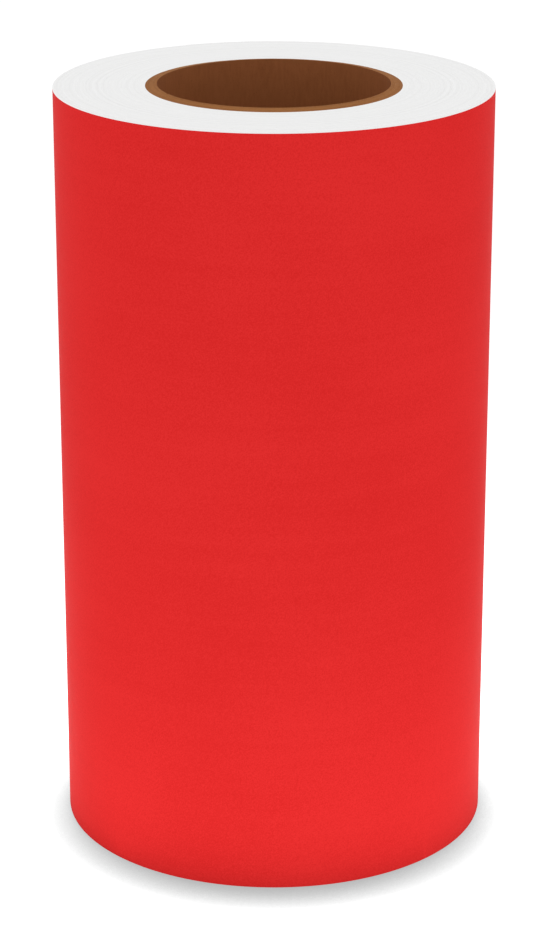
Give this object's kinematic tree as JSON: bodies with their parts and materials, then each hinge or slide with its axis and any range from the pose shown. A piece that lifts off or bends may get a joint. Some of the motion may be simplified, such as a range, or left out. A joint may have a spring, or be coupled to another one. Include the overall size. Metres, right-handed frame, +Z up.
{
  "type": "roll of sign vinyl",
  "caption": "Roll of red adhesive sign vinyl on a white paper liner, wound film side out on an open paper core and standing on one end.",
  "frame": {"origin": "centre of the roll's lower end, on the surface it stands on", "axes": "+Z up the core's axis, from the end it stands on to the upper end; -Y towards the side seen in the picture; the tail and its tape are on the +Y side"},
  "size_m": [0.1439, 0.1441, 0.2546],
  "materials": {
    "vinyl_film": "satin red film with a fine grain, with a clear-grey adhesive coat on its back",
    "web_edge": "cut ends of the wound turns, plain white, with fine rings",
    "release_liner": "smooth white release paper",
    "core_liner_ply": "smooth brown kraft with a spiral butt seam",
    "core_board": "matt brown paperboard plies with a knife-cut edge",
    "tape": "creped cream paper tape"
  },
  "bodies": {
    "roll": {"core_inner_ply": "core_liner_ply", "core_body_ply_1": "core_board", "core_body_ply_2": "core_board", "core_body_ply_3": "core_board", "core_body_ply_4": "core_board", "core_body_ply_5": "core_board", "core_outer_ply": "core_board", "starter_tape": "tape", "inner_turns": "web_edge", "outer_liner": "release_liner", "outer_film": "vinyl_film"},
    "tail": {"tail_liner": "release_liner", "tail_film": "vinyl_film"},
    "film_tip": {"film_tip": "vinyl_film"},
    "closure_tape": {"closure_tape": "tape"}
  },
  "joints": [
    {"name": "tail_lift", "type": "hinge", "parent": "roll", "child": "tail", "pos_m": [0.03071, 0.0653, 0.127], "axis": [0, 0, -1], "range_deg": [0, 60], "stiffness_Nm_per_rad": 0.01},
    {"name": "film_peel", "type": "hinge", "parent": "tail", "child": "film_tip", "pos_m": [-0.00141, 0.07223, 0.127], "axis": [0, 0, -1], "range_deg": [0, 90], "stiffness_Nm_per_rad": 0.005},
    {"name": "tape_peel", "type": "hinge", "parent": "film_tip", "child": "closure_tape", "pos_m": [-0.00942, 0.07181, 0.127], "axis": [0, 0, -1], "range_deg": [0, 100], "stiffness_Nm_per_rad": 0.001}
  ]
}
